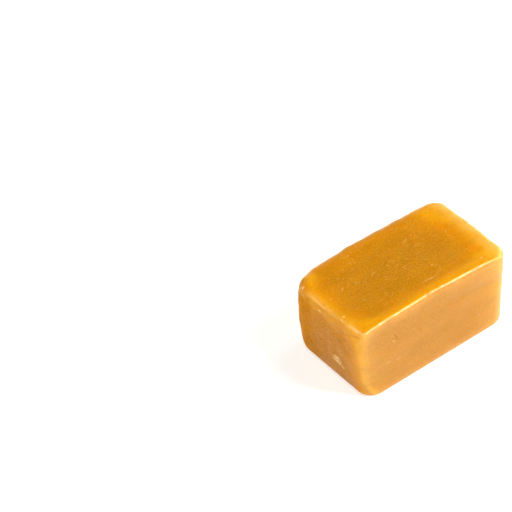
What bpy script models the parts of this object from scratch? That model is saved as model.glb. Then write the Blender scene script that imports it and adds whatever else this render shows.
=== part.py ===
"""Soft caramel: one bite-sized block of chewy milk caramel.

The block is wider at the top than at its foot. Its edges are soft, apart from one crisp lip
along the front of the top. The top is sunken inside a broad rim, the sides swell or pull in a
little, and the whole surface has the shallow lumps of a sweet that was pressed while warm.

Metres, +Z up. X runs along the block, the front faces -Y. The origin is at the middle of the
box round the block, on the surface that it stands on.
"""

import math

import bmesh
import bpy
import numpy as np
from mathutils import Vector, noise

MM = 0.001

# Driving dimensions
LENGTH = 28.0 * MM
WIDTH = 18.2 * MM
HEIGHT = 13.4 * MM

# How far the foot of each side stands in from the top of that side
FOOT_INSET = {"left": 0.7 * MM, "right": 0.3 * MM, "front": 0.2 * MM, "back": 0.2 * MM}

# How far each side swells at half its height, or pulls in where the value is negative
SIDE_SWELL = {"left": 0.7 * MM, "right": 0.1 * MM, "front": -0.1 * MM, "back": -0.1 * MM}

# How far the top edge of each side bows out at its middle, or in where the value is negative
TOP_BOW = {"left": 0.0 * MM, "right": 0.3 * MM, "front": -0.1 * MM, "back": 0.0 * MM}

# Radii of the edges round the top and round the foot
RIM_RADIUS = {"left": 0.9 * MM, "right": 0.9 * MM, "front": 0.45 * MM, "back": 2.9 * MM}
FOOT_RADIUS = {"left": 0.8 * MM, "right": 0.7 * MM, "front": 0.8 * MM, "back": 0.9 * MM}

# Radii of the four upright edges, at the foot and at the top
UPRIGHT_RADII = {
    ("left", "front"): (2.6 * MM, 1.0 * MM),
    ("right", "front"): (3.3 * MM, 2.2 * MM),
    ("right", "back"): (3.2 * MM, 3.0 * MM),
    ("left", "back"): (3.6 * MM, 5.0 * MM),
}

# The top: its crown along the length, its slope towards the back, and its sunken middle
TOP_CROWN = 0.7 * MM
CROWN_MIDDLE = -2.0 * MM
BACK_RISE = -0.2 * MM
TOP_SINK = 0.42 * MM
END_RIM_WIDTH = 4.2 * MM
SIDE_RIM_WIDTH = 3.4 * MM

# The rolled lip of the left end: a groove below it, and its wander along the lip
GROOVE_DEPTH = 0.16 * MM
GROOVE_DROP = 2.0 * MM
GROOVE_WIDTH = 0.8 * MM
GROOVE_WANDER = 0.5 * MM
GROOVE_WAVE = 3.1 * MM

# Lumps all over: (size, height), the height over which they fade in above the foot, and the
# seed of their pattern
LUMPS = ((7.0 * MM, 0.15 * MM), (2.6 * MM, 0.04 * MM))
LUMP_FADE = 4.5 * MM
LUMP_SEED = 234

# Grid of the surface: the first step from an edge, the growth of each step, and the widest
EDGE_STEP = 0.2 * MM
STEP_GROWTH = 1.4
WIDEST_STEP = 1.3 * MM

HALF_X = LENGTH / 2
HALF_Y = WIDTH / 2
TINY = 1e-9


def smooth(value):
    """A soft step: 0 up to 0, 1 from 1 on."""
    t = np.clip(value, 0.0, 1.0)
    return t * t * (3.0 - 2.0 * t)


def of_end(values, x):
    """The value of the left or right side, whichever is nearer."""
    return np.where(x < 0.0, values["left"], values["right"])


def of_side(values, y):
    """The value of the front or back side, whichever is nearer."""
    return np.where(y < 0.0, values["front"], values["back"])


def graded_cuts(half):
    """Places of the cuts along one axis, from -half to half, close together near both edges."""
    cuts = []
    place = half
    step = EDGE_STEP
    while place - step > 0.5 * step:
        place -= step
        cuts.append(place)
        step = min(step * STEP_GROWTH, WIDEST_STEP)
    return [-cut for cut in cuts] + list(reversed(cuts))


def sharp_box():
    """The block with sharp edges, its faces cut into a grid."""
    mesh = bmesh.new()
    bmesh.ops.create_cube(mesh, size=1.0)
    bmesh.ops.scale(mesh, vec=(LENGTH, WIDTH, HEIGHT), verts=mesh.verts)
    bmesh.ops.translate(mesh, vec=(0.0, 0.0, HEIGHT / 2), verts=mesh.verts)
    for axis, half in enumerate((HALF_X, HALF_Y, HEIGHT / 2)):
        for cut in graded_cuts(half):
            place = Vector((0.0, 0.0, HEIGHT / 2))
            place[axis] += cut
            normal = Vector((0.0, 0.0, 0.0))
            normal[axis] = 1.0
            everything = mesh.verts[:] + mesh.edges[:] + mesh.faces[:]
            bmesh.ops.bisect_plane(mesh, geom=everything, plane_co=place, plane_no=normal)
    return mesh


def upright_radius(x, y, z):
    """Radius of the nearest upright edge at this height."""
    end_names = np.where(x < 0.0, "left", "right")
    side_names = np.where(y < 0.0, "front", "back")
    radius = np.zeros(len(x))
    for (end, side), (at_foot, at_top) in UPRIGHT_RADII.items():
        here = (end_names == end) & (side_names == side)
        radius += here * (at_foot + (at_top - at_foot) * smooth(z / HEIGHT))
    return radius


def eased(inset, drop, radius):
    """Distances from the two faces of a sharp edge, moved onto a round of that radius."""
    across = radius - inset
    along = radius - drop
    in_round = (across > 0.0) & (along > 0.0)
    scale = np.where(in_round, radius / np.maximum(np.hypot(across, along), TINY), 1.0)
    return radius - across * scale, radius - along * scale


def round_edges(points):
    """Moves the grid of the sharp box onto a box with rounded edges and corners."""
    x, y, z = points.T
    from_end = HALF_X - np.abs(x)
    from_side = HALF_Y - np.abs(y)
    nearer_end = from_end <= from_side
    inset = np.minimum(from_end, from_side)
    upright = upright_radius(x, y, z)

    # The turn round the corner, from 0 on the end to 1 on the side
    past_end = upright - from_end
    past_side = upright - from_side
    in_corner = (past_end > 0.0) & (past_side > 0.0)
    half_turn = 0.5 * np.minimum(past_end, past_side) / np.maximum(np.maximum(past_end, past_side), TINY)
    turn = np.where(in_corner, half_turn, 0.0)
    turn = np.where(nearer_end, turn, 1.0 - turn)

    upper = z > HEIGHT / 2
    end_radius = np.where(upper, of_end(RIM_RADIUS, x), of_end(FOOT_RADIUS, x))
    side_radius = np.where(upper, of_side(RIM_RADIUS, y), of_side(FOOT_RADIUS, y))
    radius = end_radius + (side_radius - end_radius) * smooth(turn)
    inset, drop = eased(inset, np.where(upper, HEIGHT - z, z), radius)

    angle = turn * math.pi / 2
    corner_x = HALF_X - upright + (upright - inset) * np.cos(angle)
    corner_y = HALF_Y - upright + (upright - inset) * np.sin(angle)
    flank_x = np.where(nearer_end, HALF_X - inset, np.abs(x))
    flank_y = np.where(nearer_end, np.abs(y), HALF_Y - inset)
    new_x = np.sign(x) * np.where(in_corner, corner_x, flank_x)
    new_y = np.sign(y) * np.where(in_corner, corner_y, flank_y)
    return np.column_stack([new_x, new_y, np.where(upper, HEIGHT - drop, drop)])


def press(points):
    """The warm sweet's own shape: leaning and swelling sides, bowed edges, and the sunken top."""
    x, y, z = points.T
    lift = z / HEIGHT
    across, back = x / HALF_X, y / HALF_Y
    middle_height = 4.0 * lift * (1.0 - lift)
    lean_x = of_end(FOOT_INSET, x) * (1.0 - lift) - of_end(SIDE_SWELL, x) * middle_height
    lean_y = of_side(FOOT_INSET, y) * (1.0 - lift) - of_side(SIDE_SWELL, y) * middle_height
    bow_x = of_end(TOP_BOW, x) * np.abs(across) * lift**2 * (1.0 - back**2)
    bow_y = of_side(TOP_BOW, y) * np.abs(back) * lift**2 * (1.0 - across**2)
    crown = 1.0 - ((x - CROWN_MIDDLE) / HALF_X) ** 2
    from_end = smooth((HALF_X - np.abs(x)) / END_RIM_WIDTH)
    from_side = smooth((HALF_Y - np.abs(y)) / SIDE_RIM_WIDTH)
    new_x = x + across * (bow_x - lean_x)
    new_y = y + back * (bow_y - lean_y)
    new_z = z + lift**2 * (TOP_CROWN * crown + BACK_RISE * back - TOP_SINK * from_end * from_side)
    return np.column_stack([new_x, new_y, new_z])


def groove(points):
    """Presses in the shallow groove below the rolled lip of the left end."""
    x, y, z = points.T
    level = HEIGHT - GROOVE_DROP + GROOVE_WANDER * np.sin(y / GROOVE_WAVE)
    on_end = smooth((-x - HALF_X / 2) / (HALF_X / 2)) * (1.0 - (y / HALF_Y) ** 2)
    depth = GROOVE_DEPTH * np.exp(-(((z - level) / GROOVE_WIDTH) ** 2)) * on_end
    return points + np.column_stack([depth, np.zeros(len(x)), np.zeros(len(x))])


def lumps(points):
    """Offsets of the shallow lumps, none at the foot."""
    noise.seed_set(LUMP_SEED)
    offsets = np.zeros((len(points), 3))
    for size, height in LUMPS:
        offsets += height * np.array([noise.noise_vector(Vector(point / size)) for point in points])
    return offsets * smooth(points[:, 2:] / LUMP_FADE)


def formed(points):
    """The points of the sharp box, moved onto the surface of the sweet."""
    rounded = round_edges(points)
    return groove(press(rounded)) + lumps(rounded)


def centred(points):
    """The points, moved so that the box round them is centred on the origin and stands at zero."""
    low, high = points.min(axis=0), points.max(axis=0)
    middle = (low + high) / 2
    return points - (middle[0], middle[1], low[2])


def caramel_material():
    """Milk caramel: a warm amber, satin, with light that enters and spreads under the surface."""
    material = bpy.data.materials.new("caramel")
    material.use_nodes = True
    shader = material.node_tree.nodes["Principled BSDF"]
    shader.inputs["Base Color"].default_value = (0.72, 0.33, 0.065, 1.0)
    shader.inputs["Roughness"].default_value = 0.42
    shader.inputs["Metallic"].default_value = 0.0
    shader.inputs["Subsurface Weight"].default_value = 0.6
    shader.inputs["Subsurface Radius"].default_value = (1.0, 0.45, 0.12)
    shader.inputs["Subsurface Scale"].default_value = 3.0 * MM
    material.diffuse_color = (0.72, 0.33, 0.065, 1.0)
    return material


def make_caramel():
    """The one solid."""
    mesh = sharp_box()
    points = centred(formed(np.array([vert.co for vert in mesh.verts])))
    for vert, point in zip(mesh.verts, points):
        vert.co = point
    bmesh.ops.recalc_face_normals(mesh, faces=mesh.faces)
    data = bpy.data.meshes.new("caramel")
    mesh.to_mesh(data)
    mesh.free()
    data.shade_smooth()
    data.materials.append(caramel_material())
    caramel = bpy.data.objects.new("caramel", data)
    bpy.context.scene.collection.objects.link(caramel)
    return caramel


def clear_scene():
    for item in list(bpy.data.objects):
        bpy.data.objects.remove(item)


clear_scene()
make_caramel()
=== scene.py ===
"""Looks of the soft caramel: its fine surface and amber finish, the floor, the light and the camera.

The one piece repeats the form of the solid from the same named sizes, on a grid fine enough for
the crisp front lip, the rolled lip of the left end and the small dents. It stays in the solid's box.
"""

import math

import bpy
import numpy as np
from mathutils import Matrix, Vector, noise


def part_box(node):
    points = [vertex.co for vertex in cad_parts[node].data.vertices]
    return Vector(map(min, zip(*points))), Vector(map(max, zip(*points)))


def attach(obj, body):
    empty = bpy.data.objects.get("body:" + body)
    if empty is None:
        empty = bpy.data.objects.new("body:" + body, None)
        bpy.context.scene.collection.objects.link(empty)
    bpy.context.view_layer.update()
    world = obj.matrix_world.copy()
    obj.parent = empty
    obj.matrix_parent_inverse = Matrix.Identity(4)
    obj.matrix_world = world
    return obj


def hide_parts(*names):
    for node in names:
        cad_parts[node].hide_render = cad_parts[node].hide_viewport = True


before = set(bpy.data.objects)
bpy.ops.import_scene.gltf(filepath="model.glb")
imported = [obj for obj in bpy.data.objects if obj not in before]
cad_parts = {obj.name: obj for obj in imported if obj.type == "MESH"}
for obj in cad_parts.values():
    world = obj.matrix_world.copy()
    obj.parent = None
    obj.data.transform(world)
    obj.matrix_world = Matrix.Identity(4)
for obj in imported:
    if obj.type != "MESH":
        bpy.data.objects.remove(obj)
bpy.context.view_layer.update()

MM = 0.001

# The form of the solid, as in its source
LENGTH = 28.0 * MM
WIDTH = 18.2 * MM
HEIGHT = 13.4 * MM
FOOT_INSET = {"left": 0.7 * MM, "right": 0.3 * MM, "front": 0.2 * MM, "back": 0.2 * MM}
SIDE_SWELL = {"left": 0.7 * MM, "right": 0.1 * MM, "front": -0.1 * MM, "back": -0.1 * MM}
TOP_BOW = {"left": 0.0 * MM, "right": 0.3 * MM, "front": -0.1 * MM, "back": 0.0 * MM}
RIM_RADIUS = {"left": 0.9 * MM, "right": 0.9 * MM, "front": 0.45 * MM, "back": 2.9 * MM}
FOOT_RADIUS = {"left": 0.8 * MM, "right": 0.7 * MM, "front": 0.8 * MM, "back": 0.9 * MM}
UPRIGHT_RADII = {
    ("left", "front"): (2.6 * MM, 1.0 * MM),
    ("right", "front"): (3.3 * MM, 2.2 * MM),
    ("right", "back"): (3.2 * MM, 3.0 * MM),
    ("left", "back"): (3.6 * MM, 5.0 * MM),
}
TOP_CROWN = 0.7 * MM
CROWN_MIDDLE = -2.0 * MM
BACK_RISE = -0.2 * MM
TOP_SINK = 0.42 * MM
END_RIM_WIDTH = 4.2 * MM
SIDE_RIM_WIDTH = 3.4 * MM
GROOVE_DEPTH = 0.16 * MM
GROOVE_DROP = 2.0 * MM
GROOVE_WIDTH = 0.8 * MM
GROOVE_WANDER = 0.5 * MM
GROOVE_WAVE = 3.1 * MM
LUMPS = ((7.0 * MM, 0.15 * MM), (2.6 * MM, 0.04 * MM))
LUMP_FADE = 4.5 * MM
LUMP_SEED = 234

HALF_X = LENGTH / 2
HALF_Y = WIDTH / 2
TINY = 1e-9

# Grid of the fine surface: the first step from an edge, the growth of each step, and the widest
EDGE_STEP = 0.06 * MM
STEP_GROWTH = 1.22
WIDEST_STEP = 0.23 * MM

# Narrow flat that is pressed along the front lip, the waves of the lip as (size, height), the nick
# in it, and the direction in which the lip rises
FLAT_DEPTH = 0.045 * MM
FLAT_WIDTH = 0.18 * MM
LIP_WAVES = ((1.9 * MM, 0.07 * MM), (0.6 * MM, 0.03 * MM))
LIP_WAVE_WIDTH = 0.8 * MM
NICK_X = -1.25 * MM
NICK_DEPTH = 0.30 * MM
NICK_WIDTH = 0.16 * MM
NICK_REACH = 0.45 * MM
LIP_OUTWARDS = (0.0, -0.7, 0.7)

# How far the right end of the front lip drops at its corner, and how far the drop reaches
CORNER_DROP = 0.35 * MM
CORNER_REACH = 1.3 * MM

# Shallow valley that runs along the front side: its height at the middle, its fall, width and depth,
# where it starts, and how far behind the front face it reaches
VALLEY_HEIGHT = 10.4 * MM
VALLEY_FALL = 0.14
VALLEY_WIDTH = 0.9 * MM
VALLEY_DEPTH = 0.07 * MM
VALLEY_START = -0.6 * HALF_X
VALLEY_REACH = 1.5 * MM

# Rolled lip of the left end: its height and the share of it that is even, its width, the size of
# its lumps, and the direction in which it rises
ROLL_HEIGHT = 0.12 * MM
ROLL_EVEN = 0.7
ROLL_WIDTH = 0.55 * MM
ROLL_LUMP = 1.3 * MM
ROLL_OUTWARDS = (-0.5, 0.0, 0.8)

# Small waves along the soft edges, as (size, height), how far they reach from the edge, and the
# directions in which the top's back edge, its right edge and the back left upright edge rise
SOFT_WAVES = ((3.3 * MM, 0.13 * MM), (1.3 * MM, 0.05 * MM))
SOFT_WAVE_WIDTH = 2.2 * MM
BACK_OUTWARDS = (0.0, 0.6, 0.8)
RIGHT_OUTWARDS = (0.6, 0.0, 0.8)
UPRIGHT_OUTWARDS = (-0.8, 0.5, 0.0)

# Rows of the noise that the waves of the front lip, of the soft edges and of the rolled lip follow
LIP_ROW = 3.0
SOFT_ROW = 5.0
ROLL_ROW = 8.0

# Creases in the left end, just below its lip: (start and end as (y, z), width, depth)
CREASES = (
    ((3.0 * MM, 12.75 * MM), (-0.6 * MM, 12.3 * MM), 0.28 * MM, 0.16 * MM),
    ((-5.2 * MM, 11.5 * MM), (-8.0 * MM, 12.7 * MM), 0.26 * MM, 0.20 * MM),
)

# Fine waviness all over, and the small dents of the rougher left end: (size, height)
RIPPLES = ((1.1 * MM, 0.012 * MM), (3.4 * MM, 0.06 * MM))
END_DENTS = ((0.55 * MM, 0.06 * MM), (1.4 * MM, 0.17 * MM))

# Shares of the half length at which the creases and the dents of the left end start, and over which
# they come in
CREASE_START = 0.8
DENT_START = 0.7
END_FADE = 0.2

# Bands of painted glow along the edges, standing in for light that brightens the sweet from within, as
# (width, strength): those of the top, of the front and the other sides, and of the left end
TOP_GLOW = {
    "front": (2.9 * MM, 0.97),
    "back": (5.5 * MM, 0.50),
    "left": (2.8 * MM, 0.80),
    "right": (4.4 * MM, 1.0),
}
FRONT_GLOW = {
    "top": (2.0 * MM, 0.40),
    "foot": (1.8 * MM, 0.30),
    "left": (2.8 * MM, 0.38),
    "right": (5.0 * MM, 0.85),
}
END_GLOW = {
    "top": (2.9 * MM, 0.70),
    "front": (2.3 * MM, 0.80),
    "back": (1.8 * MM, 0.50),
}

# Narrower bands of painted highlight along the same edges, in which the painted glow pales
TOP_HALO = {
    "front": (0.22 * MM, 0.45),
    "back": (1.6 * MM, 0.30),
    "left": (0.65 * MM, 0.45),
    "right": (1.6 * MM, 0.78),
}
FRONT_HALO = {
    "top": (0.9 * MM, 0.20),
    "foot": (1.0 * MM, 0.25),
    "left": (1.4 * MM, 0.08),
    "right": (2.0 * MM, 0.45),
}
END_HALO = {
    "top": (0.40 * MM, 0.30),
    "front": (0.9 * MM, 0.22),
}

# Where the top's colour and its painted glow reach down over the back of the left end: start, length and
# reach
WRAP_START = 2.5 * MM
WRAP_LENGTH = 3.5 * MM
WRAP_REACH = 1.5 * MM

# How much the bands of painted highlight are held back at the right front corner of the top
CORNER_QUIET = 0.65

# Where the bands of painted glow and painted highlight of the left end, and of the top beside it, fade
# out towards the back: start, length and share
RIM_FADE_START = 2.5 * MM
RIM_FADE_LENGTH = 3.0 * MM
RIM_FADE = 0.75

# Painted highlight down the front left upright edge: its place (below 0 it is on the end, above 0 on the
# front), how much further onto the front it comes at the foot, and over what height, its widths on the
# end and on the front, its strength
EDGE_PLACE = -0.15 * MM
EDGE_FOOT_INSET = 1.8 * MM
EDGE_TURN = 4.0 * MM
EDGE_END_WIDTH = 0.40 * MM
EDGE_FRONT_WIDTH = 1.1 * MM
EDGE_STRENGTH = 0.60

# Thin painted highlight along the crest of the front lip: its width and its strength, and the length
# over which it and the lip's gloss fade at the right end
LIP_LINE_WIDTH = 0.13 * MM
LIP_LINE_STRENGTH = 0.34
LIP_FADE = 1.6 * MM

# Painted shade: how much darker the foot of the left end is than its top, how the shade grows down the
# end, and how far it stays from the front edge
END_SHADE = 0.28
SHADE_CURVE = 0.7
SHADE_GAP = 2.6 * MM

# Widths over which a side's finish gives way to the next side's, and that of the glossier lip
SIDE_BLEND = 0.5 * MM
TOP_BLEND = 2.0 * MM
CRISP_WIDTH = 0.45 * MM

# Where the gloss dies away towards the back of the left end: start, length, reach over the edges
DULL_START = -2.0 * MM
DULL_LENGTH = 8.0 * MM
DULL_REACH = 3.0 * MM

# Colours: the top and the left end, their painted glow, the front and the other sides with painted
# sheen, the bands and lines of painted highlight along the edges, and the small marks, among them
# painted highlights and painted shade
AMBER = (0.518, 0.212, 0.0055, 1.0)
RUSSET = (0.535, 0.194, 0.002, 1.0)
# Painted glow: the orange and the bright colour of the bands of painted glow
ORANGE = (0.585, 0.222, 0.0020, 1.0)
GLOWING = (0.685, 0.302, 0.0020, 1.0)
# Painted sheen: the front, back and right sides, paler and bluer than the top where a white reflection
# would lie
SIDE_SHEEN = (0.470, 0.197, 0.0190, 1.0)
SIDE_SHEEN_GLOW = (0.63, 0.290, 0.046, 1.0)
# Painted highlights: the pale bands, the upright edge and the line along the lip
HALO = (0.80, 0.465, 0.125, 1.0)
EDGE_HIGHLIGHT = (0.90, 0.46, 0.054, 1.0)
LIP_HIGHLIGHT = (0.90, 0.57, 0.50, 1.0)
PALE = (0.90, 0.66, 0.30, 1.0)
# Colour of the dark marks and of the painted shade in the creases and the nick
DARK_AND_SHADE = (0.36, 0.11, 0.002, 1.0)
# Painted glow: the deeper orange and the yellow of patches on the top
DEEP_GLOW = (0.66, 0.235, 0.001, 1.0)
YELLOW_GLOW = (0.84, 0.43, 0.012, 1.0)

# Ranges of the painted glow over which the colour turns orange, over which it then turns bright, and
# over which the grain and the scratches get fainter
GLOW_ORANGE = (0.0, 0.5)
GLOW_BRIGHT = (0.4, 1.0)
GLOW_CALM = (0.2, 0.8)

# Part of the range of a noise that is spread over its values, where none other is given
NOISE_SPAN = (0.3, 0.7)

# Uneven looks: clouds, fine grain, the wavering of the painted highlight bands, roughness, the beads of
# the lip's painted highlight line, the gaps in the pale marks and painted highlights, scratches, and
# fine bumps
CLOUDS = {"size": 2.0 * MM, "detail": 3.0, "low": 0.95, "high": 1.05}
GRAIN = {"size": 0.20 * MM, "detail": 2.0, "high": 1.12}
WAVER = {"size": 1.8 * MM, "detail": 2.0, "low": 0.7, "high": 1.3}
SATIN = {"size": 1.4 * MM, "detail": 3.0, "low": 0.28, "high": 0.38}
BEADS = {"size": 0.9 * MM, "detail": 3.0, "low": 0.35, "high": 1.3, "span": (0.35, 0.65)}
BROKEN = {
    "size": 0.35 * MM,
    "detail": 3.0,
    "roughness": 0.7,
    "low": 0.45,
    "high": 1.0,
    "span": (0.36, 0.60),
}
SCRATCHES = {"size": 0.20 * MM, "detail": 1.0, "low": 0.0, "high": 0.32, "span": (0.61, 0.80)}
BUMPS = {"size": 0.18 * MM, "detail": 3.0, "roughness": 0.6}

# Scales of the places, under 1 along X, which draws the clouds and the scratches out that way
CLOUD_DRAW = (0.35, 1.0, 1.0)
SCRATCH_DRAW = (0.3, 1.0, 1.0)

# Dark end of the grain: on the top at its left end and further right, and where that change runs, then
# on the left end, on the other sides and where the painted glow is strong
GRAIN_TOP_LEFT = 0.85
GRAIN_TOP = 0.77
GRAIN_CHANGE = (-11.0 * MM, -2.0 * MM)
GRAIN_LEFT_END = 0.72
GRAIN_SIDES = 0.92
GRAIN_GLOW = 0.95

# Strength of the scratches where the painted glow is strong, and on the sides
SCRATCH_GLOW = 0.5
SCRATCH_SIDES = 0.25

# Gloss: its level, the level in the bands of painted highlight and the strength of a band that reaches
# it, and the level at the back of the left end
GLOSS_LEVEL = 0.25
HALO_GLOSS = 0.10
HALO_FULL = 0.8
DULL_GLOSS = 0.03

# How many times as rough the left end and the front lip are as the rest
END_ROUGHER = 1.7
LIP_ROUGHER = 0.5

# Fine bumps: their strength on most of the sweet and on the left end, and their height
BUMP_STRENGTH = 0.10
END_BUMP_STRENGTH = 0.60
BUMP_HEIGHT = 0.03 * MM

# What is the same all over, by the shader's own names
SAME_ALL_OVER = {
    "Subsurface Weight": 0.6,
    "Subsurface Radius": (1.0, 0.45, 0.12),
    "Subsurface Scale": 2.2 * MM,
    "IOR": 1.5,
    "Specular Tint": (1.0, 0.97, 0.72, 1.0),
}

# Shares of a mark's half size at which it starts to fade, and at which it is gone
MARK_CORE = 0.4
MARK_RIM = 1.2

# Small marks, in mm: (middle, half sizes, turn in degrees, strength)
PALE_MARKS_AND_HIGHLIGHTS = (
    # A scuff on the left end
    ((-14.05, -2.75, 4.65), (0.8, 1.25, 0.85), (15, 0, 0), 0.36),
    ((-14.05, -2.61, 5.25), (0.8, 0.90, 0.20), (-12, 0, 0), 0.80),
    ((-14.05, -1.99, 4.37), (0.8, 0.80, 0.18), (2, 0, 0), 0.60),
    ((-14.05, -2.64, 4.36), (0.8, 0.42, 0.28), (15, 0, 0), 1.00),
    ((-14.05, -2.90, 4.22), (0.8, 0.50, 0.24), (30, 0, 0), 0.85),
    ((-14.05, -3.79, 4.01), (0.8, 0.50, 0.20), (20, 0, 0), 0.55),
    # Painted highlights: lines along the rim of the left end, a dot at its back corner, and a short line
    # under its lip
    ((-13.67, 1.05, 13.30), (0.20, 2.20, 0.20), (0, 0, -4), 0.30),
    ((-13.67, -4.30, 13.55), (0.24, 0.60, 0.24), (0, 0, -17), 0.55),
    ((-13.45, -7.10, 13.70), (0.26, 1.70, 0.26), (0, 0, 5), 0.50),
    ((-13.34, 5.37, 13.31), (0.26, 0.26, 0.60), (0, 0, 0), 0.90),
    ((-14.07, 0.80, 12.18), (0.8, 0.55, 0.17), (8, 0, 0), 0.60),
    # Pale specks and streaks on the rim, the top and the front
    ((-12.94, -3.81, 13.72), (0.25, 0.25, 0.5), (0, 0, 0), 0.75),
    ((-9.33, 1.05, 13.40), (0.50, 0.10, 0.8), (0, 0, 40), 0.42),
    ((-8.32, -3.12, 13.60), (0.22, 0.14, 0.8), (0, 0, 20), 0.25),
    ((-12.00, 0.32, 13.50), (0.18, 0.18, 0.8), (0, 0, 0), 0.30),
    ((-3.97, 0.50, 13.70), (0.75, 0.08, 0.8), (0, 0, 25), 0.35),
    ((4.15, 3.01, 13.40), (0.85, 0.10, 0.8), (0, 0, 30), 0.28),
    ((4.89, 1.33, 13.40), (0.70, 0.09, 0.8), (0, 0, 15), 0.25),
    ((10.15, -7.39, 13.60), (0.40, 0.14, 0.8), (0, 0, 10), 0.45),
    ((1.50, -6.08, 13.80), (1.70, 0.09, 0.8), (0, 0, -4), 0.55),
    ((3.60, -5.60, 13.80), (1.10, 0.07, 0.8), (0, 0, 12), 0.30),
    ((-8.06, -8.94, 9.22), (0.22, 0.8, 0.22), (0, 0, 0), 0.45),
    ((-9.22, -8.92, 5.66), (0.60, 0.8, 0.16), (0, 6, 0), 0.26),
    ((-7.35, -8.90, 5.34), (0.60, 0.8, 0.22), (0, -7, 0), 0.18),
)
DARK_MARKS_AND_SHADE = (
    # Dark marks on the front and the top
    ((-7.64, -8.94, 10.00), (0.12, 0.8, 0.75), (0, -23, 0), 0.95),
    ((-3.25, -4.35, 13.80), (0.22, 0.14, 0.8), (0, 0, 30), 0.50),
    # Painted shade: in the creases below the corner of the left end's lip, below its rolled lip, and in
    # the nick of the front lip
    ((-14.05, -7.10, 12.62), (0.6, 1.25, 0.30), (-24, 0, 0), 0.38),
    ((-13.70, -8.20, 13.05), (0.3, 0.60, 0.20), (0, 0, 33), 0.30),
    ((-13.93, 0.80, 13.00), (0.3, 1.80, 0.17), (0, 0, 0), 0.35),
    ((-1.25, -8.85, 13.95), (0.15, 0.6, 0.45), (0, 0, 0), 0.50),
)

# Patches near the ends of the top painted a deeper orange, as painted glow
DEEP_GLOW_PATCHES = (
    ((10.60, 1.30, 13.30), (1.1, 3.2, 1.0), (0, 0, 8), 0.70),
    ((10.85, -5.00, 13.30), (1.0, 1.4, 1.0), (0, 0, 30), 0.80),
    ((-11.00, -5.20, 13.50), (1.2, 2.0, 1.0), (0, 0, -50), 0.35),
)

# Patch in which the right front corner of the top is painted yellow, as painted glow
YELLOW_GLOW_PATCH = (
    ((12.20, -7.60, 13.45), (1.6, 1.7, 1.2), (0, 0, 0), 0.60),
)

# The floor: its size, its colour and finish, and the light that it gives off
FLOOR_SIZE = 3.0
FLOOR_COLOUR = (0.75, 0.75, 0.75, 1.0)
FLOOR_ROUGHNESS = 0.9
FLOOR_GLOSS = 0.1
FLOOR_GLEAM = (0.84, 0.90, 1.0, 1.0)
FLOOR_LIGHT = 0.54

# Soft boxes: name, direction from the sweet, distance, width and height, strength, colour
WHITE = (1.0, 1.0, 1.0)
WARM = (1.0, 0.95, 0.74)
SOFT_BOXES = (
    ("key", (0.42, -0.68, 0.60), 0.50, (0.09, 0.40), 27.0, WHITE),
    ("left_fill", (-0.75, 0.42, 0.51), 0.60, (0.40, 0.40), 3.4, WARM),
    ("top_fill", (-0.30, 0.10, 0.95), 0.60, (0.38, 0.38), 2.7, WARM),
    ("right_fill", (0.92, 0.15, 0.30), 0.50, (0.24, 0.24), 6.0, WHITE),
)

# The studio round the sweet: its colour at the horizon and overhead, and how high the first reaches
HORIZON = (0.9, 0.9, 0.9, 1.0)
ZENITH = (0.03, 0.03, 0.03, 1.0)
HORIZON_HEIGHT = 0.3

# The camera: where the view comes from, its roll, its distance, how far off the middle it aims, and
# its lens, sensor and nearest distance
CAMERA_AZIMUTH = math.radians(-32.86)
CAMERA_ELEVATION = math.radians(42.11)
CAMERA_ROLL = math.radians(-6.331)
CAMERA_DISTANCE = 451.9 * MM
CAMERA_ASIDE = (21.83 * MM, -11.10 * MM)
FOCAL_LENGTH = 210.94
SENSOR_WIDTH = 36.0
CLIP_START = 0.01


def smooth(value):
    """A soft step: 0 up to 0, 1 from 1 on."""
    t = np.clip(value, 0.0, 1.0)
    return t * t * (3.0 - 2.0 * t)


def bell(distance, width):
    """1 at distance 0, falling off over that width."""
    return np.exp(-((distance / width) ** 2))


def of_end(values, x):
    """The value of the left or right side, whichever is nearer."""
    return np.where(x < 0.0, values["left"], values["right"])


def of_side(values, y):
    """The value of the front or back side, whichever is nearer."""
    return np.where(y < 0.0, values["front"], values["back"])


def graded_places(half):
    """Places of the grid lines along one axis, from -half to half, close together near both edges."""
    steps = [EDGE_STEP]
    while sum(steps) < half:
        steps.append(min(steps[-1] * STEP_GROWTH, WIDEST_STEP))
    from_edge = np.cumsum([0.0] + steps)
    inward = half - from_edge * half / from_edge[-1]
    return np.concatenate([-inward, inward[-2::-1]])


def box_grid():
    """The points and the four-sided faces of the sharp box, its sides cut into a fine grid."""
    places = [graded_places(HALF_X), graded_places(HALF_Y), graded_places(HEIGHT / 2) + HEIGHT / 2]
    counts = [len(row) for row in places]
    grid = np.stack(np.meshgrid(*places, indexing="ij"), axis=-1)
    shell = np.zeros(counts, bool)
    for axis in range(3):
        ends = [slice(None)] * 3
        for end in (0, -1):
            ends[axis] = end
            shell[tuple(ends)] = True
    number = np.full(counts, -1)
    number[shell] = np.arange(shell.sum())
    faces = []
    for axis in range(3):
        for end in (0, -1):
            sheet = np.take(number, end, axis=axis)
            corners = [sheet[:-1, :-1], sheet[1:, :-1], sheet[1:, 1:], sheet[:-1, 1:]]
            # Rows and columns turn outwards for X and Z at the high end, and for Y at the low end
            outwards = (end == -1) != (axis == 1)
            if not outwards:
                corners.reverse()
            faces.append(np.stack([corner.ravel() for corner in corners], axis=1))
    return grid[shell], np.concatenate(faces)


def upright_radius(x, y, z):
    """Radius of the nearest upright edge at this height."""
    end_names = np.where(x < 0.0, "left", "right")
    side_names = np.where(y < 0.0, "front", "back")
    radius = np.zeros(len(x))
    for (end, side), (at_foot, at_top) in UPRIGHT_RADII.items():
        here = (end_names == end) & (side_names == side)
        radius += here * (at_foot + (at_top - at_foot) * smooth(z / HEIGHT))
    return radius


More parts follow.
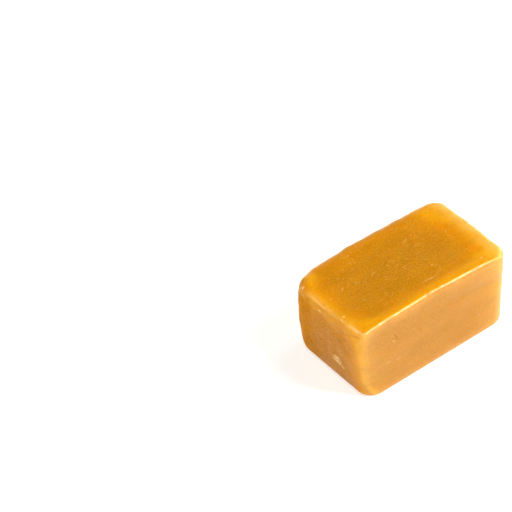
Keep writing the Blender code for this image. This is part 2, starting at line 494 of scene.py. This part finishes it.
def eased(inset, drop, radius):
    """Distances from the two faces of a sharp edge, moved onto a round of that radius."""
    across = radius - inset
    along = radius - drop
    in_round = (across > 0.0) & (along > 0.0)
    scale = np.where(in_round, radius / np.maximum(np.hypot(across, along), TINY), 1.0)
    return radius - across * scale, radius - along * scale


def round_edges(points):
    """Moves the grid of the sharp box onto a box with rounded edges and corners."""
    x, y, z = points.T
    from_end = HALF_X - np.abs(x)
    from_side = HALF_Y - np.abs(y)
    nearer_end = from_end <= from_side
    inset = np.minimum(from_end, from_side)
    upright = upright_radius(x, y, z)

    # The turn round the corner, from 0 on the end to 1 on the side
    past_end = upright - from_end
    past_side = upright - from_side
    in_corner = (past_end > 0.0) & (past_side > 0.0)
    half_turn = 0.5 * np.minimum(past_end, past_side) / np.maximum(np.maximum(past_end, past_side), TINY)
    turn = np.where(in_corner, half_turn, 0.0)
    turn = np.where(nearer_end, turn, 1.0 - turn)

    upper = z > HEIGHT / 2
    end_radius = np.where(upper, of_end(RIM_RADIUS, x), of_end(FOOT_RADIUS, x))
    side_radius = np.where(upper, of_side(RIM_RADIUS, y), of_side(FOOT_RADIUS, y))
    radius = end_radius + (side_radius - end_radius) * smooth(turn)
    inset, drop = eased(inset, np.where(upper, HEIGHT - z, z), radius)

    angle = turn * math.pi / 2
    corner_x = HALF_X - upright + (upright - inset) * np.cos(angle)
    corner_y = HALF_Y - upright + (upright - inset) * np.sin(angle)
    flank_x = np.where(nearer_end, HALF_X - inset, np.abs(x))
    flank_y = np.where(nearer_end, np.abs(y), HALF_Y - inset)
    new_x = np.sign(x) * np.where(in_corner, corner_x, flank_x)
    new_y = np.sign(y) * np.where(in_corner, corner_y, flank_y)
    return np.column_stack([new_x, new_y, np.where(upper, HEIGHT - drop, drop)])


def press(points):
    """The warm sweet's own shape: leaning and swelling sides, bowed edges, and the sunken top."""
    x, y, z = points.T
    lift = z / HEIGHT
    across, back = x / HALF_X, y / HALF_Y
    middle_height = 4.0 * lift * (1.0 - lift)
    lean_x = of_end(FOOT_INSET, x) * (1.0 - lift) - of_end(SIDE_SWELL, x) * middle_height
    lean_y = of_side(FOOT_INSET, y) * (1.0 - lift) - of_side(SIDE_SWELL, y) * middle_height
    bow_x = of_end(TOP_BOW, x) * np.abs(across) * lift**2 * (1.0 - back**2)
    bow_y = of_side(TOP_BOW, y) * np.abs(back) * lift**2 * (1.0 - across**2)
    crown = 1.0 - ((x - CROWN_MIDDLE) / HALF_X) ** 2
    from_end = smooth((HALF_X - np.abs(x)) / END_RIM_WIDTH)
    from_side = smooth((HALF_Y - np.abs(y)) / SIDE_RIM_WIDTH)
    new_x = x + across * (bow_x - lean_x)
    new_y = y + back * (bow_y - lean_y)
    new_z = z + lift**2 * (TOP_CROWN * crown + BACK_RISE * back - TOP_SINK * from_end * from_side)
    return np.column_stack([new_x, new_y, new_z])


def groove(points):
    """Presses in the shallow groove below the rolled lip of the left end."""
    x, y, z = points.T
    level = HEIGHT - GROOVE_DROP + GROOVE_WANDER * np.sin(y / GROOVE_WAVE)
    on_end = smooth((-x - HALF_X / 2) / (HALF_X / 2)) * (1.0 - (y / HALF_Y) ** 2)
    depth = GROOVE_DEPTH * bell(z - level, GROOVE_WIDTH) * on_end
    return points + np.column_stack([depth, np.zeros(len(x)), np.zeros(len(x))])


def uneven(places):
    """Soft noise from -1 to 1 at those places."""
    return np.array([noise.noise(Vector(place)) for place in places])


def wander(points, size, height):
    """Soft random offsets of that size and height, one for each point."""
    return height * np.array([noise.noise_vector(Vector(point / size)) for point in points])


def lumps(points):
    """Offsets of the shallow lumps, none at the foot."""
    noise.seed_set(LUMP_SEED)
    offsets = sum(wander(points, size, height) for size, height in LUMPS)
    return offsets * smooth(points[:, 2:] / LUMP_FADE)


def over_edge(behind, below):
    """Distance from the sharp edge where two faces meet: positive on the one, negative on the other."""
    return np.where(behind > below, behind, -below)


def waves_along(along, waves, row):
    """Height of the soft waves along an edge, from their (size, height) and a row of the noise."""
    still = np.zeros(len(along))
    total = np.zeros(len(along))
    for size, height in waves:
        total += height * uneven(np.column_stack([along / size, still, still + row]))
    return total


def front_lip(box_points):
    """Offsets of the narrow flat along the front lip, with its waves and its nick."""
    x, y, z = box_points.T
    over = over_edge(y + HALF_Y, HEIGHT - z)
    waves = waves_along(x, LIP_WAVES, LIP_ROW)
    flat = FLAT_DEPTH * bell(over, FLAT_WIDTH)
    nick = NICK_DEPTH * bell(x - NICK_X, NICK_WIDTH) * bell(over, NICK_REACH)
    return np.outer(waves * bell(over, LIP_WAVE_WIDTH) - flat - nick, LIP_OUTWARDS)


def rolled_lip(box_points):
    """Offsets of the lumpy rolled lip along the top of the left end."""
    x, y, z = box_points.T
    over = over_edge(x + HALF_X, HEIGHT - z)
    still = np.zeros(len(y))
    waves = uneven(np.column_stack([still, y / ROLL_LUMP, still + ROLL_ROW]))
    rise = ROLL_HEIGHT * (ROLL_EVEN + waves) * bell(over, ROLL_WIDTH)
    return np.outer(rise, ROLL_OUTWARDS)


def soft_edges(box_points):
    """Offsets of the waves along the soft edges, none at the foot."""
    x, y, z = box_points.T
    edges = (
        (x, over_edge(HALF_Y - y, HEIGHT - z), BACK_OUTWARDS),
        (y, over_edge(HALF_X - x, HEIGHT - z), RIGHT_OUTWARDS),
        (z, over_edge(HALF_X + x, HALF_Y - y), UPRIGHT_OUTWARDS),
    )
    offsets = np.zeros((len(x), 3))
    for along, over, outwards in edges:
        waves = waves_along(along, SOFT_WAVES, SOFT_ROW)
        offsets += np.outer(waves * bell(over, SOFT_WAVE_WIDTH), outwards)
    return offsets * smooth(box_points[:, 2:] / LUMP_FADE)


def from_corner(box_points):
    """Distance from the right front corner of the top."""
    return np.linalg.norm(box_points - (HALF_X, -HALF_Y, HEIGHT), axis=1)


def dropped_corner(box_points):
    """Offsets that lower the right end of the front lip."""
    return np.outer(CORNER_DROP * bell(from_corner(box_points), CORNER_REACH), (0.0, 0.0, -1.0))


def valley(box_points):
    """Offsets of the shallow valley in the front side, which fades out to the left."""
    x, y, z = box_points.T
    on_front = smooth(1.0 - (y + HALF_Y) / VALLEY_REACH) * smooth((x - VALLEY_START) / HALF_X)
    level = VALLEY_HEIGHT - VALLEY_FALL * x
    return np.outer(VALLEY_DEPTH * bell(z - level, VALLEY_WIDTH) * on_front, (0.0, 1.0, 0.0))


def from_segment(y, z, start, end):
    """Distance from a segment in the plane of the left end, and the place along it from 0 to 1."""
    run_y, run_z = end[0] - start[0], end[1] - start[1]
    along = ((y - start[0]) * run_y + (z - start[1]) * run_z) / (run_y**2 + run_z**2)
    along = np.clip(along, 0.0, 1.0)
    return np.hypot(y - start[0] - along * run_y, z - start[1] - along * run_z), along


def towards_left(x, start):
    """0 up to that share of the way from the middle to the left end, then a soft step to 1."""
    return smooth((-x - start * HALF_X) / (END_FADE * HALF_X))


def creases(box_points):
    """Offsets of the short creases below the lip of the left end, deepest at half their length."""
    x, y, z = box_points.T
    on_end = towards_left(x, CREASE_START)
    depth = np.zeros(len(x))
    for start, end, width, deep in CREASES:
        distance, along = from_segment(y, z, start, end)
        depth += deep * bell(distance, width) * (4.0 * along * (1.0 - along)) ** 0.5 * on_end
    return np.outer(depth, (1.0, 0.0, 0.0))


def fine_relief(rounded):
    """Offsets of the fine waviness, and of the rougher left end, none at the foot."""
    on_end = towards_left(rounded[:, 0], DENT_START)
    dents = sum(height * (0.5 + 0.5 * uneven(rounded / size)) for size, height in END_DENTS)
    ripples = sum(wander(rounded, size, height) for size, height in RIPPLES)
    return (ripples + np.outer(dents * on_end, (1.0, 0.0, 0.0))) * smooth(rounded[:, 2:] / LUMP_FADE)


def fitted(points, low, high):
    """The points, scaled and moved so that the box round them is the solid's box."""
    own_low, own_high = points.min(axis=0), points.max(axis=0)
    return low + (points - own_low) * (high - low) / (own_high - own_low)


def formed(box_points, low, high):
    """The points of the sharp box, moved onto the surface of the sweet, inside the solid's box."""
    rounded = round_edges(box_points)
    form = fitted(groove(press(rounded)) + lumps(rounded), low, high)
    edges = front_lip(box_points) + rolled_lip(box_points) + soft_edges(box_points)
    edges += dropped_corner(box_points)
    dents = creases(box_points) + valley(box_points)
    return np.clip(form + edges + dents + fine_relief(rounded), low, high)


def face_distances(box_points):
    """Distances of the points from the six faces of the sharp box."""
    x, y, z = box_points.T
    return {
        "left": x + HALF_X,
        "right": HALF_X - x,
        "front": y + HALF_Y,
        "back": HALF_Y - y,
        "top": HEIGHT - z,
        "foot": z,
    }


def side_shares(y, away):
    """How far the points take the finish of the top and of each side, from 0 to 1."""
    below = smooth(away["top"] / SIDE_BLEND)
    wrap = WRAP_REACH * smooth((y - WRAP_START) / WRAP_LENGTH)
    below_wrap = smooth((away["top"] - wrap) / SIDE_BLEND)
    front = smooth(1.0 - away["front"] / SIDE_BLEND) * below
    left = smooth(1.0 - away["left"] / SIDE_BLEND) * below_wrap * (1.0 - front)
    back = smooth(1.0 - away["back"] / SIDE_BLEND) * below * (1.0 - left)
    right = smooth(1.0 - away["right"] / SIDE_BLEND) * below * (1.0 - front) * (1.0 - back)
    top = smooth(1.0 - away["top"] / TOP_BLEND) * (1.0 - front) * (1.0 - left)
    return {"top": top, "front": front, "back": back, "left": left, "right": right}


def bands(away, strengths):
    """Sum of the bands at those distances from the named faces."""
    return sum(strength * bell(away[face], width) for face, (width, strength) in strengths.items())


def all_bands(y, away, shares, top, front, end):
    """One map of all the bands of painted light: the top's, those of the front and sides, and the left
    end's.
    """
    as_front = {**away, "left": away["front"], "right": away["back"]}
    rim_fade = smooth((y - RIM_FADE_START) / RIM_FADE_LENGTH)
    rim_fade = RIM_FADE * rim_fade * smooth(1.0 - away["left"] / TOP_BLEND)
    total = bands(away, top) * shares["top"] + bands(away, end) * shares["left"]
    total = total * (1.0 - rim_fade) + bands(away, front) * (shares["front"] + shares["back"])
    return total + bands(as_front, front) * shares["right"]


def upright_highlight(away):
    """The painted highlight down the front left upright edge."""
    nearest = np.minimum(away["left"], away["front"])
    near_corner = smooth(1.0 - nearest / SIDE_BLEND) * smooth(away["top"] / SIDE_BLEND)
    comes_in = EDGE_FOOT_INSET * np.clip(1.0 - away["foot"] / EDGE_TURN, 0.0, 1.0) ** 2
    past_edge = away["left"] - away["front"] - EDGE_PLACE - comes_in
    width = np.where(past_edge < 0.0, EDGE_END_WIDTH, EDGE_FRONT_WIDTH)
    return EDGE_STRENGTH * bell(past_edge, width) * near_corner


def end_shade(away, shares):
    """The painted shade that grows down the left end, away from its front edge."""
    shade = END_SHADE * shares["left"] * (1.0 - away["foot"] / HEIGHT) ** SHADE_CURVE
    return shade * (1.0 - bell(away["front"], SHADE_GAP))


def finish_maps(box_points):
    """The maps that the finish reads, each from 0 to 1, among them painted glow, painted highlights,
    painted shade and the sides with painted sheen.
    """
    y = box_points[:, 1]
    away = face_distances(box_points)
    shares = side_shares(y, away)
    quiet = 1.0 - CORNER_QUIET * bell(from_corner(box_points), CORNER_REACH)
    over_lip = over_edge(away["front"], away["top"])
    lip_fade = smooth(away["right"] / LIP_FADE)
    to_back = smooth((y - DULL_START) / DULL_LENGTH)
    maps = {
        "glow": all_bands(y, away, shares, TOP_GLOW, FRONT_GLOW, END_GLOW),
        "halo": all_bands(y, away, shares, TOP_HALO, FRONT_HALO, END_HALO) * quiet,
        "edge": upright_highlight(away),
        "lip": LIP_LINE_STRENGTH * bell(over_lip, LIP_LINE_WIDTH) * lip_fade,
        "crisp": bell(over_lip, CRISP_WIDTH) * lip_fade,
        "shade": end_shade(away, shares),
        "dull": smooth(1.0 - away["left"] / DULL_REACH) * to_back,
        "on_left": shares["left"],
        "sides_with_sheen": shares["front"] + shares["back"] + shares["right"],
    }
    return {name: np.clip(values, 0.0, 1.0) for name, values in maps.items()}


def add(tree, kind, inputs=None, **settings):
    """A new node. Each input gets the value, or is linked where the value is another node's socket."""
    made = tree.nodes.new(kind)
    for name, value in settings.items():
        setattr(made, name, value)
    for name, value in (inputs or {}).items():
        if isinstance(value, bpy.types.NodeSocket):
            tree.links.new(value, made.inputs[name])
        else:
            made.inputs[name].default_value = value
    return made


def mixed(tree, factor, first, second, way="MIX"):
    """The colour between two others, by that factor."""
    return add(
        tree,
        "ShaderNodeMixRGB",
        {"Fac": factor, "Color1": first, "Color2": second},
        blend_type=way,
    ).outputs["Color"]


def product(tree, first, second):
    """The two values multiplied."""
    return add(tree, "ShaderNodeMath", {0: first, 1: second}, operation="MULTIPLY").outputs[0]


def ramp(tree, value, low, high, to_low=0.0, to_high=1.0):
    """The value, taken softly from one range to another and held there."""
    return add(
        tree,
        "ShaderNodeMapRange",
        {"Value": value, "From Min": low, "From Max": high, "To Min": to_low, "To Max": to_high},
        interpolation_type="SMOOTHSTEP",
    ).outputs["Result"]


def between(tree, share, first, second):
    """The first value where the share is 0, the second where it is 1."""
    return ramp(tree, share, 0.0, 1.0, first, second)


def noise_of(tree, place, size, detail, roughness=0.5):
    """Noise with lumps of that size in metres."""
    return add(
        tree,
        "ShaderNodeTexNoise",
        {"Vector": place, "Scale": 1.0 / size, "Detail": detail, "Roughness": roughness},
    ).outputs["Fac"]


def varied(tree, place, size, detail, low, high, span=NOISE_SPAN, roughness=0.5):
    """A value that varies from low to high, in lumps of that size in metres."""
    return ramp(tree, noise_of(tree, place, size, detail, roughness), *span, low, high)


def drawn_out(tree, place, scale):
    """The places, scaled so that what is drawn on them comes out longer."""
    return add(tree, "ShaderNodeMapping", {"Vector": place, "Scale": scale}).outputs["Vector"]


def painted(tree, name):
    """The map of that name, painted on the points of the mesh."""
    return add(tree, "ShaderNodeAttribute", attribute_name=name).outputs["Fac"]


def spot(tree, place, middle, half_sizes, turn, strength):
    """That strength inside a soft oval that is turned about one axis, 0 outside it."""
    local = add(
        tree,
        "ShaderNodeMapping",
        {
            "Vector": place,
            "Location": [length * MM for length in middle],
            "Rotation": [math.radians(angle) for angle in turn],
            "Scale": [length * MM for length in half_sizes],
        },
        vector_type="TEXTURE",
    ).outputs["Vector"]
    distance = add(tree, "ShaderNodeVectorMath", {0: local}, operation="LENGTH").outputs["Value"]
    return ramp(tree, distance, MARK_CORE, MARK_RIM, strength, 0.0)


def marked(tree, place, marks):
    """The strongest of the marks at each place."""
    spots = [spot(tree, place, *mark) for mark in marks]
    total = spots[0]
    for other in spots[1:]:
        total = add(tree, "ShaderNodeMath", {0: total, 1: other}, operation="MAXIMUM").outputs[0]
    return total


def body_colour(tree, place, glow, on_left, sheened_sides):
    """Amber that turns orange and bright in the painted glow, and sides made paler by painted sheen."""
    colour = mixed(tree, on_left, AMBER, RUSSET)
    colour = mixed(tree, ramp(tree, glow, *GLOW_ORANGE), colour, ORANGE)
    colour = mixed(tree, ramp(tree, glow, *GLOW_BRIGHT), colour, GLOWING)
    colour = mixed(tree, marked(tree, place, DEEP_GLOW_PATCHES), colour, DEEP_GLOW)
    colour = mixed(tree, marked(tree, place, YELLOW_GLOW_PATCH), colour, YELLOW_GLOW)
    return mixed(tree, sheened_sides, colour, mixed(tree, glow, SIDE_SHEEN, SIDE_SHEEN_GLOW))


def with_bands(tree, place, colour, halo):
    """The colour with the painted highlights: the pale bands, the bright upright edge and the beaded
    line of the lip.
    """
    colour = mixed(tree, product(tree, halo, varied(tree, place, **WAVER)), colour, HALO)
    colour = mixed(tree, painted(tree, "edge"), colour, EDGE_HIGHLIGHT)
    line = product(tree, painted(tree, "lip"), varied(tree, place, **BEADS))
    return mixed(tree, line, colour, LIP_HIGHLIGHT)


def shading(tree, place, glow, on_left, sheened_sides):
    """What the colour is multiplied with: clouds, fine grain, and the painted shade at the foot of the
    left end.
    """
    clouds = varied(tree, drawn_out(tree, place, CLOUD_DRAW), **CLOUDS)
    along = add(tree, "ShaderNodeSeparateXYZ", {"Vector": place}).outputs["X"]
    darkest = ramp(tree, along, *GRAIN_CHANGE, GRAIN_TOP_LEFT, GRAIN_TOP)
    darkest = between(tree, on_left, darkest, GRAIN_LEFT_END)
    darkest = between(tree, sheened_sides, darkest, GRAIN_SIDES)
    darkest = ramp(tree, glow, *GLOW_CALM, darkest, GRAIN_GLOW)
    grain = varied(tree, place, low=darkest, **GRAIN)
    return product(tree, product(tree, clouds, grain), between(tree, painted(tree, "shade"), 1.0, 0.0))


def with_marks(tree, place, colour, glow, sheened_sides):
    """The colour with the faint pale scratches all over, and the small pale and dark marks, among them
    painted highlights and painted shade.
    """
    lines = varied(tree, drawn_out(tree, place, SCRATCH_DRAW), **SCRATCHES)
    dusty = between(tree, sheened_sides, ramp(tree, glow, *GLOW_CALM, 1.0, SCRATCH_GLOW), SCRATCH_SIDES)
    colour = mixed(tree, product(tree, lines, dusty), colour, PALE)
    broken = product(tree, marked(tree, place, PALE_MARKS_AND_HIGHLIGHTS), varied(tree, place, **BROKEN))
    colour = mixed(tree, broken, colour, PALE)
    return mixed(tree, marked(tree, place, DARK_MARKS_AND_SHADE), colour, DARK_AND_SHADE)


def satin(tree, place, on_left):
    """Roughness: uneven, more on the left end, less on the front lip."""
    rough = product(tree, varied(tree, place, **SATIN), between(tree, on_left, 1.0, END_ROUGHER))
    return product(tree, rough, between(tree, painted(tree, "crisp"), 1.0, LIP_ROUGHER))


def gloss(tree, halo):
    """Level of the gloss: less in the bands of painted highlight and at the back of the left end, full
    on the lip.
    """
    level = ramp(tree, halo, 0.0, HALO_FULL, GLOSS_LEVEL, HALO_GLOSS)
    level = between(tree, painted(tree, "dull"), level, DULL_GLOSS)
    return between(tree, painted(tree, "crisp"), level, GLOSS_LEVEL)


def fine_bumps(tree, place, on_left):
    """Normals of the fine bumps, stronger on the left end."""
    height = noise_of(tree, place, **BUMPS)
    strength = between(tree, on_left, BUMP_STRENGTH, END_BUMP_STRENGTH)
    inputs = {"Height": height, "Strength": strength, "Distance": BUMP_HEIGHT}
    return add(tree, "ShaderNodeBump", inputs).outputs["Normal"]


def caramel_material():
    """Milk caramel: satin amber that light enters, brighter near the edges of its top by painted glow
    and painted highlights, with painted sheen on its sides and painted shade at the foot of its left
    end.
    """
    material = bpy.data.materials.new("caramel_finish")
    material.use_nodes = True
    tree = material.node_tree
    shader = tree.nodes["Principled BSDF"]
    place = add(tree, "ShaderNodeTexCoord").outputs["Object"]
    glow = painted(tree, "glow")
    halo = painted(tree, "halo")
    on_left = painted(tree, "on_left")
    sheened_sides = painted(tree, "sides_with_sheen")

    colour = body_colour(tree, place, glow, on_left, sheened_sides)
    colour = with_bands(tree, place, colour, halo)
    shade = shading(tree, place, glow, on_left, sheened_sides)
    colour = mixed(tree, 1.0, colour, shade, "MULTIPLY")
    colour = with_marks(tree, place, colour, glow, sheened_sides)

    tree.links.new(colour, shader.inputs["Base Color"])
    tree.links.new(satin(tree, place, on_left), shader.inputs["Roughness"])
    tree.links.new(gloss(tree, halo), shader.inputs["Specular IOR Level"])
    tree.links.new(fine_bumps(tree, place, on_left), shader.inputs["Normal"])
    for name, value in SAME_ALL_OVER.items():
        shader.inputs[name].default_value = value
    return material


def make_caramel():
    """The one piece, in the place of the solid."""
    box_points, faces = box_grid()
    low, high = (np.array(corner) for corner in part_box("caramel"))
    points = formed(box_points, low, high)
    mesh = bpy.data.meshes.new("caramel_block")
    mesh.from_pydata(points.tolist(), [], faces.tolist())
    mesh.shade_smooth()
    for name, values in finish_maps(box_points).items():
        mesh.attributes.new(name, "FLOAT", "POINT").data.foreach_set("value", values.astype(np.float32))
    mesh.materials.append(caramel_material())
    block = bpy.data.objects.new("caramel_block", mesh)
    bpy.context.scene.collection.objects.link(block)
    return block


def make_floor():
    """A plain pale floor that is lit from below, like a light table."""
    half = FLOOR_SIZE / 2
    mesh = bpy.data.meshes.new("floor")
    corners = [(-half, -half, 0.0), (half, -half, 0.0), (half, half, 0.0), (-half, half, 0.0)]
    mesh.from_pydata(corners, [], [(0, 1, 2, 3)])
    material = bpy.data.materials.new("floor_finish")
    material.use_nodes = True
    shader = material.node_tree.nodes["Principled BSDF"]
    shader.inputs["Base Color"].default_value = FLOOR_COLOUR
    shader.inputs["Roughness"].default_value = FLOOR_ROUGHNESS
    shader.inputs["Specular IOR Level"].default_value = FLOOR_GLOSS
    shader.inputs["Emission Color"].default_value = FLOOR_GLEAM
    shader.inputs["Emission Strength"].default_value = FLOOR_LIGHT
    mesh.materials.append(material)
    floor = bpy.data.objects.new("floor", mesh)
    bpy.context.scene.collection.objects.link(floor)


def make_light(name, direction, distance, sides, strength, colour):
    """A soft box that faces the sweet. A larger one of the same strength gives more light."""
    light = bpy.data.lights.new(name, "AREA")
    light.shape = "RECTANGLE"
    light.size, light.size_y = sides
    light.energy = strength * math.pi * sides[0] * sides[1]
    light.color = colour
    lamp = bpy.data.objects.new(name, light)
    towards = Vector(direction).normalized()
    lamp.location = towards * distance + Vector((0.0, 0.0, HEIGHT / 2))
    lamp.rotation_euler = towards.to_track_quat("Z", "Y").to_euler()
    bpy.context.scene.collection.objects.link(lamp)


def make_world():
    """A studio that is bright round the horizon and dim overhead."""
    world = bpy.data.worlds.new("studio")
    world.use_nodes = True
    tree = world.node_tree
    way = add(tree, "ShaderNodeTexCoord").outputs["Generated"]
    height = add(tree, "ShaderNodeSeparateXYZ", {"Vector": way}).outputs["Z"]
    share = ramp(tree, height, 0.0, HORIZON_HEIGHT)
    colour = mixed(tree, share, HORIZON, ZENITH)
    tree.links.new(colour, tree.nodes["Background"].inputs["Color"])
    bpy.context.scene.world = world


def make_camera():
    """A long lens at the photograph's viewing angle."""
    cos_az, sin_az = math.cos(CAMERA_AZIMUTH), math.sin(CAMERA_AZIMUTH)
    cos_el, sin_el = math.cos(CAMERA_ELEVATION), math.sin(CAMERA_ELEVATION)
    back = Vector((sin_az * cos_el, -cos_az * cos_el, sin_el))
    level = Vector((cos_az, sin_az, 0.0))
    rise = back.cross(level)
    cos_roll, sin_roll = math.cos(CAMERA_ROLL), math.sin(CAMERA_ROLL)
    right = level * cos_roll + rise * sin_roll
    upward = rise * cos_roll - level * sin_roll
    data = bpy.data.cameras.new("camera")
    data.lens = FOCAL_LENGTH
    data.sensor_width = SENSOR_WIDTH
    data.clip_start = CLIP_START
    camera = bpy.data.objects.new("camera", data)
    turn = Matrix((right, upward, back)).transposed().to_4x4()
    place = back * CAMERA_DISTANCE - right * CAMERA_ASIDE[0] - upward * CAMERA_ASIDE[1]
    camera.matrix_world = Matrix.Translation(place) @ turn
    bpy.context.scene.collection.objects.link(camera)
    bpy.context.scene.camera = camera


block = make_caramel()
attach(block, "root")
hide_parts("caramel")
make_floor()
for soft_box in SOFT_BOXES:
    make_light(*soft_box)
make_world()
make_camera()
bpy.context.scene.view_settings.view_transform = "Standard"
